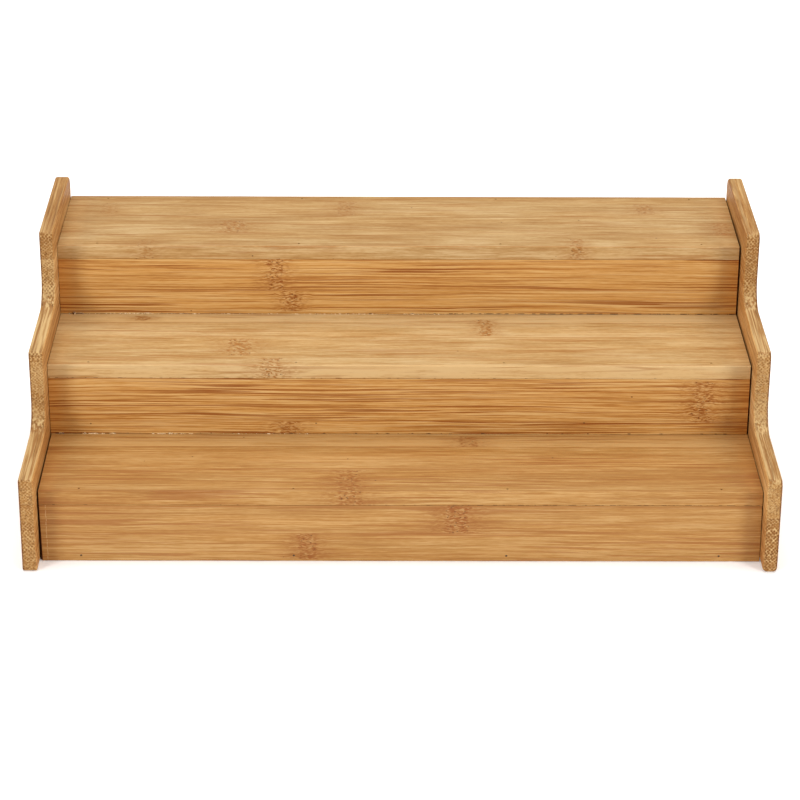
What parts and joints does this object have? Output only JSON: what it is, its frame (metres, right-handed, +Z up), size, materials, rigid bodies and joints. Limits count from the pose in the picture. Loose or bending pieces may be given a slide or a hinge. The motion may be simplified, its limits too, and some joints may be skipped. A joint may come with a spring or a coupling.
{
  "type": "tiered shelf riser",
  "caption": "Bamboo step shelf that raises jars and tins in stair tiers between two stair-shaped side panels.",
  "frame": {"origin": "centre of the footprint, on the surface that the riser stands on", "axes": "+Z up; +X to the right as seen from the front; +Y from the front, low step towards the back, high step"},
  "size_m": [0.406, 0.2374, 0.1403],
  "materials": {
    "pale_bamboo": "satin clear varnish, light straw bamboo with long fine grain",
    "amber_bamboo": "satin clear varnish, darker amber bamboo with strong streaks",
    "panel_bamboo": "satin clear varnish, dotted end grain on the front edges",
    "raw_bamboo": "unvarnished hidden rails",
    "pin_steel": "headless steel pins"
  },
  "bodies": {
    "root": {"back_rail": "raw_bamboo", "base_rail": "raw_bamboo", "left_side_panel": "panel_bamboo", "pin_base_1": "pin_steel", "pin_base_2": "pin_steel", "pin_base_3": "pin_steel", "pin_base_4": "pin_steel", "pin_bottom_front_1": "pin_steel", "pin_bottom_front_2": "pin_steel", "pin_bottom_front_3": "pin_steel", "pin_bottom_front_4": "pin_steel", "pin_left_riser_bottom_1": "pin_steel", "pin_left_riser_middle_1": "pin_steel", "pin_left_riser_top_1": "pin_steel", "pin_left_tread_bottom_1": "pin_steel", "pin_left_tread_bottom_2": "pin_steel", "pin_left_tread_middle_1": "pin_steel", "pin_left_tread_middle_2": "pin_steel", "pin_left_tread_top_1": "pin_steel", "pin_left_tread_top_2": "pin_steel", "pin_middle_foot_1": "pin_steel", "pin_middle_foot_2": "pin_steel", "pin_middle_foot_3": "pin_steel", "pin_middle_front_1": "pin_steel", "pin_middle_front_2": "pin_steel", "pin_middle_front_3": "pin_steel", "pin_middle_front_4": "pin_steel", "pin_right_riser_bottom_1": "pin_steel", "pin_right_riser_middle_1": "pin_steel", "pin_right_riser_top_1": "pin_steel", "pin_right_tread_bottom_1": "pin_steel", "pin_right_tread_bottom_2": "pin_steel", "pin_right_tread_middle_1": "pin_steel", "pin_right_tread_middle_2": "pin_steel", "pin_right_tread_top_1": "pin_steel", "pin_right_tread_top_2": "pin_steel", "pin_top_back_1": "pin_steel", "pin_top_back_2": "pin_steel", "pin_top_back_3": "pin_steel", "pin_top_back_4": "pin_steel", "pin_top_foot_1": "pin_steel", "pin_top_foot_2": "pin_steel", "pin_top_foot_3": "pin_steel", "pin_top_front_1": "pin_steel", "pin_top_front_2": "pin_steel", "pin_top_front_3": "pin_steel", "pin_top_front_4": "pin_steel", "right_side_panel": "panel_bamboo", "riser_bottom": "pale_bamboo", "riser_middle": "amber_bamboo", "riser_top": "amber_bamboo", "tread_bottom": "pale_bamboo", "tread_middle": "pale_bamboo", "tread_top": "pale_bamboo"}
  },
  "joints": []
}
